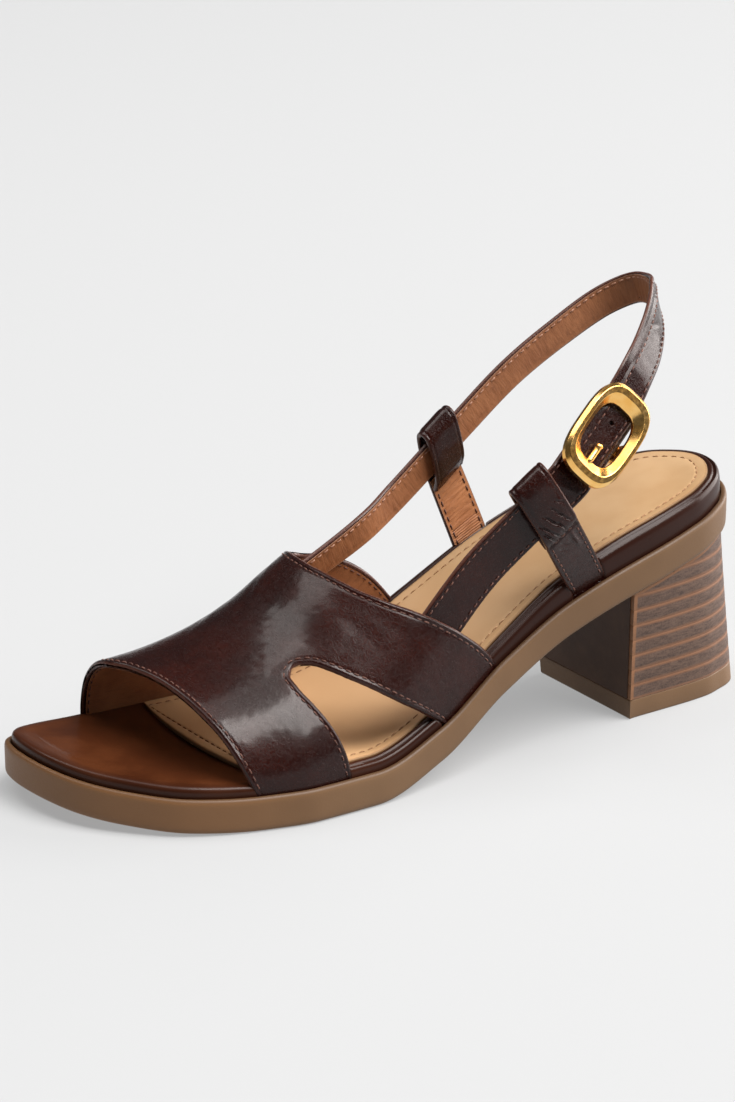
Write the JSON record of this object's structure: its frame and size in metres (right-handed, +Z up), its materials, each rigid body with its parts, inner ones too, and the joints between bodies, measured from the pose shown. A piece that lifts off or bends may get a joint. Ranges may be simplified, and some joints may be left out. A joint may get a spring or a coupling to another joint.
{
  "type": "heeled slingback sandal",
  "caption": "Slingback sandal with a cut-out vamp over the forefoot, a stacked block heel, a wrapped footbed and a buckle on the outer side.",
  "frame": {"origin": "on the ground under the middle of the heel's tread", "axes": "+X to the toe, +Y to the outer side of the left foot, +Z up"},
  "size_m": [0.238, 0.0871, 0.1315],
  "materials": {
    "sole": "satin tan moulded sole",
    "heel_stack": "satin stacked layers",
    "footbed_wrap": "polished brown leather",
    "insock_lining": "matt beige lining leather",
    "upper_leather": "glossy crinkled dark red-brown leather",
    "buckle_metal": "polished gold"
  },
  "bodies": {
    "root": {"outsole": "sole", "heel_block": "heel_stack", "heel_lift": "sole", "footbed": "footbed_wrap", "insock": "insock_lining", "vamp": "upper_leather", "sling_strap": "upper_leather", "buckle_strap": "upper_leather", "tab_lateral": "upper_leather", "tab_medial": "upper_leather", "buckle_frame": "buckle_metal", "buckle_prong": "buckle_metal", "buckle_keeper": "buckle_metal"}
  },
  "joints": []
}
